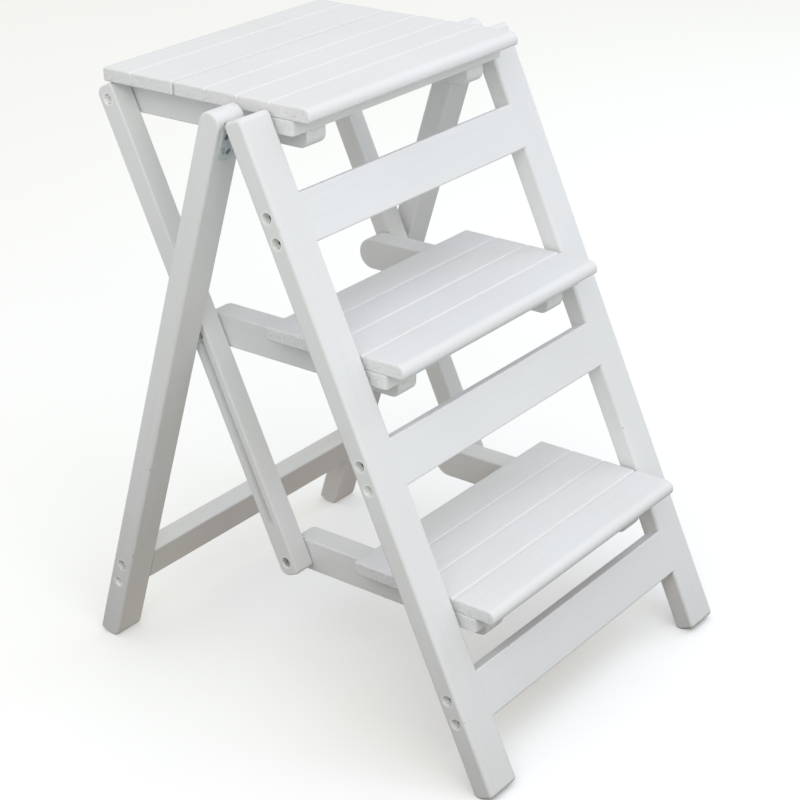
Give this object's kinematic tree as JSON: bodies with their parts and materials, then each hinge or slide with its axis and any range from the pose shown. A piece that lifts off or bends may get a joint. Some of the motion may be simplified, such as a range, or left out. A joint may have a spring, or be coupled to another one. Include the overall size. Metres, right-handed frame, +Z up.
{
  "type": "step ladder",
  "caption": "Folding wooden step ladder, white painted, with grooved steps that fold up flat against the front frame on pinned link bars and a hinged rear frame.",
  "frame": {"origin": "on the floor, in the middle of the footprint of the open ladder", "axes": "+Z up, -Y is the front that a person climbs, +X to the right of the front as seen on the page, the ladder's width"},
  "size_m": [0.439, 0.5608, 0.668],
  "materials": {
    "white_painted_wood": "white satin paint over softwood, brushed, lightly uneven",
    "zinc_steel": "bright zinc plate, satin",
    "dark_steel": "black phosphated steel, dull"
  },
  "bodies": {
    "front_frame": {"left_stile": "white_painted_wood", "right_stile": "white_painted_wood", "bottom_rail": "white_painted_wood", "middle_rail": "white_painted_wood", "top_rail": "white_painted_wood", "rail_screws": "dark_steel", "left_front_hinge_leaf": "zinc_steel", "right_front_hinge_leaf": "zinc_steel", "front_hinge_screws": "zinc_steel", "hinge_pins": "zinc_steel"},
    "rear_frame": {"left_rear_leg": "white_painted_wood", "right_rear_leg": "white_painted_wood", "rear_crossbar": "white_painted_wood", "crossbar_screws": "dark_steel", "left_rear_hinge_leaf": "zinc_steel", "right_rear_hinge_leaf": "zinc_steel", "rear_hinge_screws": "zinc_steel"},
    "lower_step": {"lower_step_board": "white_painted_wood", "lower_step_left_bearer": "white_painted_wood", "lower_step_right_bearer": "white_painted_wood", "lower_step_batten": "white_painted_wood", "lower_step_board_screws": "zinc_steel", "lower_step_pivot_pins": "zinc_steel", "lower_step_link_bolts": "zinc_steel", "lower_step_link_washers": "zinc_steel"},
    "middle_step": {"middle_step_board": "white_painted_wood", "middle_step_left_bearer": "white_painted_wood", "middle_step_right_bearer": "white_painted_wood", "middle_step_batten": "white_painted_wood", "middle_step_board_screws": "zinc_steel", "middle_step_pivot_pins": "zinc_steel", "middle_step_link_bolts": "zinc_steel", "middle_step_link_washers": "zinc_steel"},
    "platform": {"platform_front_board": "white_painted_wood", "platform_rear_board": "white_painted_wood", "platform_left_bearer": "white_painted_wood", "platform_right_bearer": "white_painted_wood", "platform_batten": "white_painted_wood", "platform_board_screws": "zinc_steel", "platform_pivot_pins": "zinc_steel", "platform_link_bolts": "zinc_steel", "platform_link_washers": "zinc_steel"},
    "left_link_bar": {"left_link_bar": "white_painted_wood"},
    "right_link_bar": {"right_link_bar": "white_painted_wood"},
    "left_guide_pin": {"left_guide_pin": "zinc_steel"},
    "right_guide_pin": {"right_guide_pin": "zinc_steel"}
  },
  "joints": [
    {"name": "platform_fold", "type": "hinge", "parent": "front_frame", "child": "platform", "pos_m": [0, 0.0129, 0.645], "axis": [1, 0, 0], "range_deg": [0, 59.7]},
    {"name": "middle_step_fold", "type": "hinge", "parent": "front_frame", "child": "middle_step", "pos_m": [0, -0.09273, 0.4055], "axis": [1, 0, 0], "range_deg": [0, 59.7]},
    {"name": "lower_step_fold", "type": "hinge", "parent": "front_frame", "child": "lower_step", "pos_m": [0, -0.19836, 0.166], "axis": [1, 0, 0], "range_deg": [0, 59.7]},
    {"name": "rear_frame_fold", "type": "hinge", "parent": "front_frame", "child": "rear_frame", "pos_m": [0, 0.03247, 0.65009], "axis": [-1, 0, 0], "range_deg": [0, 41.9]},
    {"name": "left_link_pivot", "type": "hinge", "parent": "platform", "child": "left_link_bar", "pos_m": [-0.1605, 0.2344, 0.63475], "axis": [-1, 0, 0], "range_deg": [0, 59.7]},
    {"name": "right_link_pivot", "type": "hinge", "parent": "platform", "child": "right_link_bar", "pos_m": [0.1605, 0.2344, 0.63475], "axis": [-1, 0, 0], "range_deg": [0, 59.7]},
    {"name": "left_guide_slide", "type": "slide", "parent": "left_link_bar", "child": "left_guide_pin", "axis": [0, -0.4035, -0.915], "range_m": [0, 0.21945]},
    {"name": "right_guide_slide", "type": "slide", "parent": "right_link_bar", "child": "right_guide_pin", "axis": [0, -0.4035, -0.915], "range_m": [0, 0.21945]}
  ],
  "couplings": [
    {"joint": "middle_step_fold", "follows": "platform_fold", "ratio": 1},
    {"joint": "lower_step_fold", "follows": "platform_fold", "ratio": 1},
    {"joint": "rear_frame_fold", "follows": "platform_fold", "ratio": 0.70184},
    {"joint": "left_link_pivot", "follows": "platform_fold", "ratio": 1},
    {"joint": "right_link_pivot", "follows": "platform_fold", "ratio": 1},
    {"joint": "left_guide_slide", "follows": "platform_fold", "m_per_rad": 0.21061},
    {"joint": "right_guide_slide", "follows": "platform_fold", "m_per_rad": 0.21061}
  ]
}
